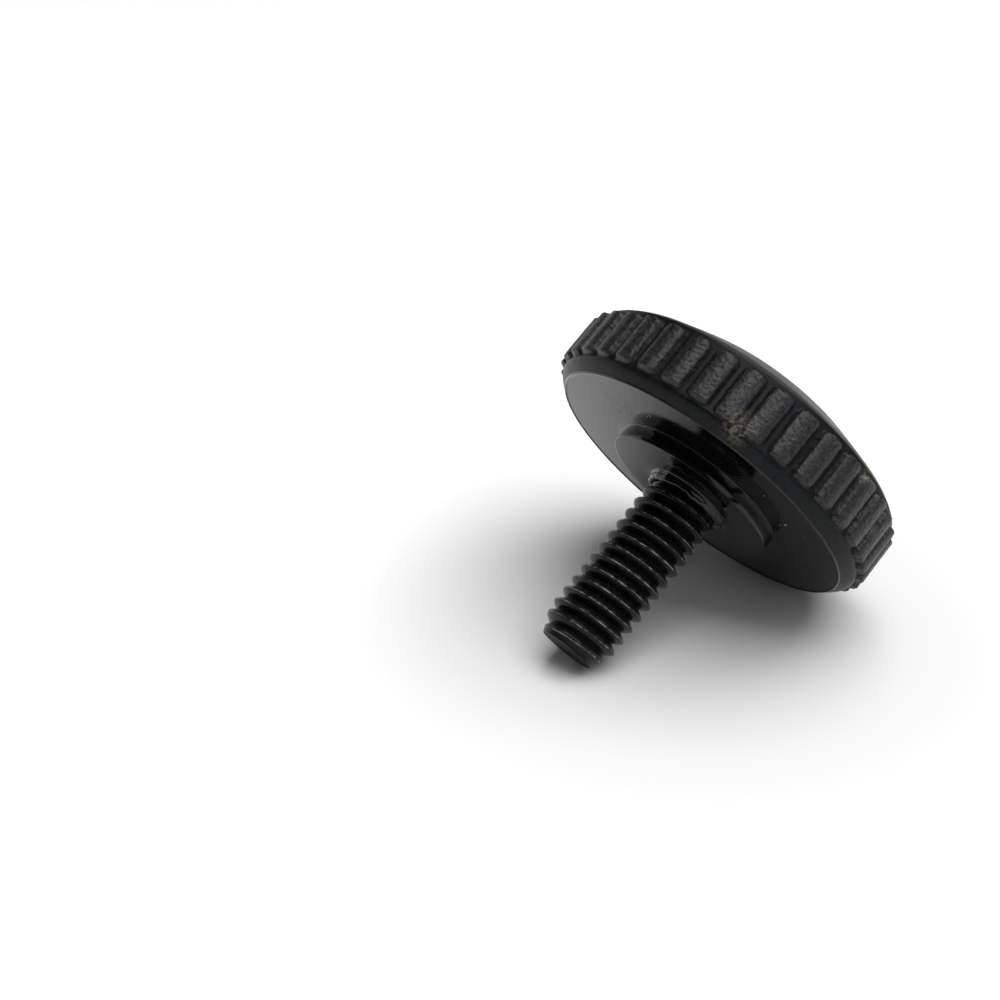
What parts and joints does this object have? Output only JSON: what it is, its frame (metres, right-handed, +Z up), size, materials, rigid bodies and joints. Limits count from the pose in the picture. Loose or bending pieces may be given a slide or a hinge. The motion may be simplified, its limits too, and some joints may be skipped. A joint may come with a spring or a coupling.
{
  "type": "thumb screw",
  "caption": "Thumb screw with a round slotted plastic head, raised rough pads around its rim, a seating boss and a black steel threaded stud.",
  "frame": {"origin": "middle of the part's box, on the surface that the screw lies on", "axes": "+X from the stud's tip towards the head, along the surface; +Z up; the screw's own axis lies in the XZ plane and climbs towards the head"},
  "size_m": [0.0172, 0.0182, 0.0163],
  "materials": {
    "head_plastic": "black moulding, satin on the dome, glossy on the underside and rough on the pads",
    "stud_steel": "black oxide on steel, bright where the thread's crests have rubbed"
  },
  "bodies": {
    "root": {"head": "head_plastic", "stud": "stud_steel"}
  },
  "joints": []
}
